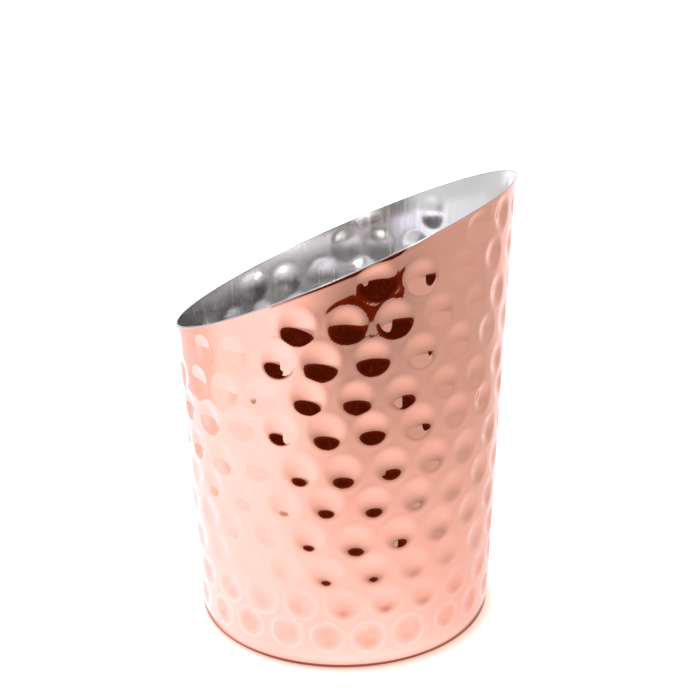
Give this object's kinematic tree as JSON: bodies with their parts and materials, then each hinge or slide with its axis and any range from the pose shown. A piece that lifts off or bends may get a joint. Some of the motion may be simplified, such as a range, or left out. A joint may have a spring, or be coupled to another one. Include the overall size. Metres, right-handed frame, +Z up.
{
  "type": "champagne bucket",
  "caption": "Slant-topped single-bottle champagne bucket with a hammered copper skin over a stainless steel liner.",
  "frame": {"origin": "centre of the foot ring, on the surface the bucket stands on", "axes": "+Z up along the wall's axis, +X towards the high side of the slanted mouth"},
  "size_m": [0.1635, 0.1634, 0.2247],
  "materials": {
    "copper": "polished copper, hammered, with a clear lacquer",
    "braze": "filed and polished brazed joint",
    "steel": "polished stainless steel, with fine polishing lines",
    "weld": "ground and polished weld"
  },
  "bodies": {
    "root": {"outer_wall": "copper", "outer_seam_braze": "braze", "base_plate": "copper", "liner_wall": "steel", "liner_seam_weld": "weld", "liner_floor": "steel", "liner_floor_weld": "weld", "rim_bead": "steel"}
  },
  "joints": []
}
